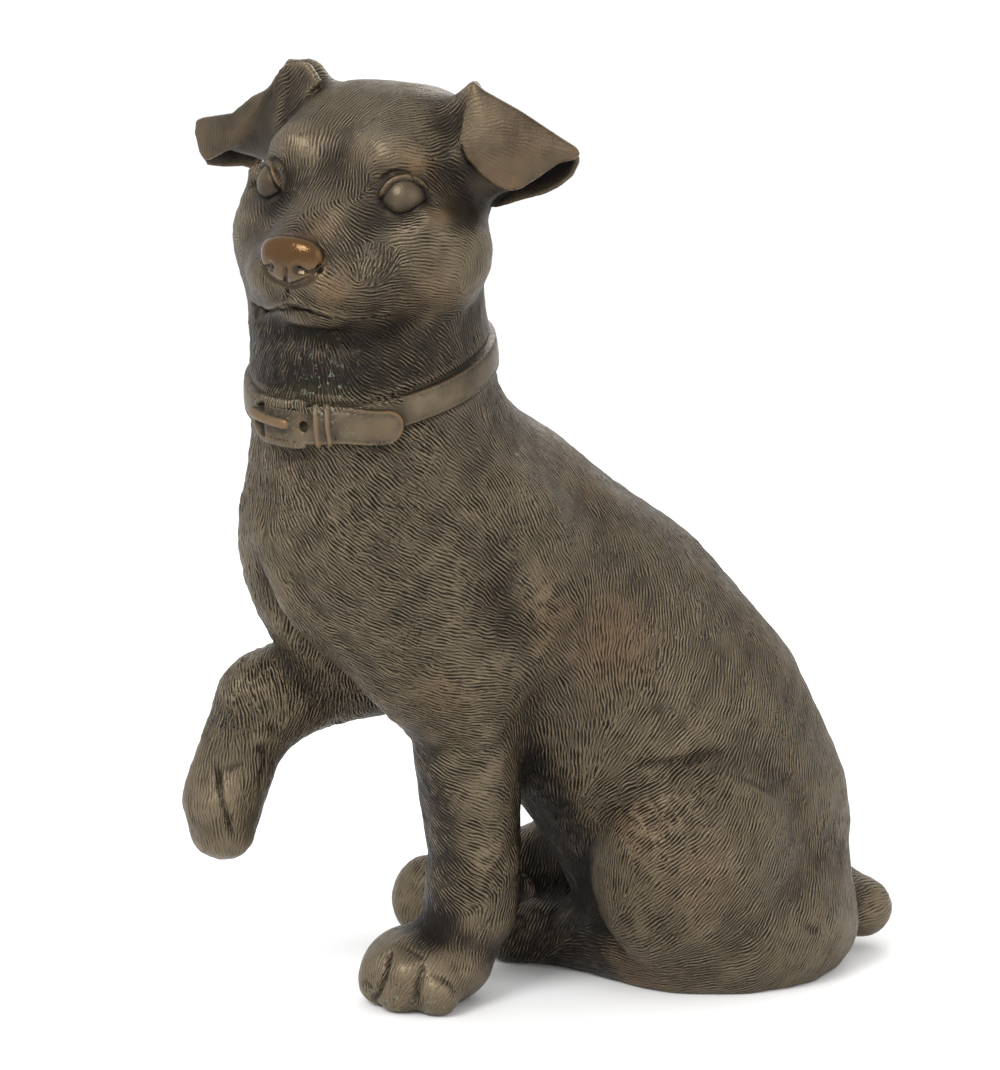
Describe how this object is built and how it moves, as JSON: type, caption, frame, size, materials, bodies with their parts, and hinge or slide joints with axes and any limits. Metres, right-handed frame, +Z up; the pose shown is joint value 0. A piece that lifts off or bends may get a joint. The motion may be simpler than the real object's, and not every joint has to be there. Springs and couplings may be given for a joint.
{
  "type": "terrier statue",
  "caption": "Bronze statue of a seated terrier puppy with its right forepaw raised and its head turned, wearing a buckled collar.",
  "frame": {"origin": "middle of the statue's plan outline, on the ground that it sits on", "axes": "+Z up, -Y the way the dog's body faces, +X its left side, which is the side of the standing foreleg"},
  "size_m": [0.1716, 0.3102, 0.394],
  "materials": {
    "bronze": "satin"
  },
  "bodies": {
    "root": {"terrier": "bronze"}
  },
  "joints": []
}
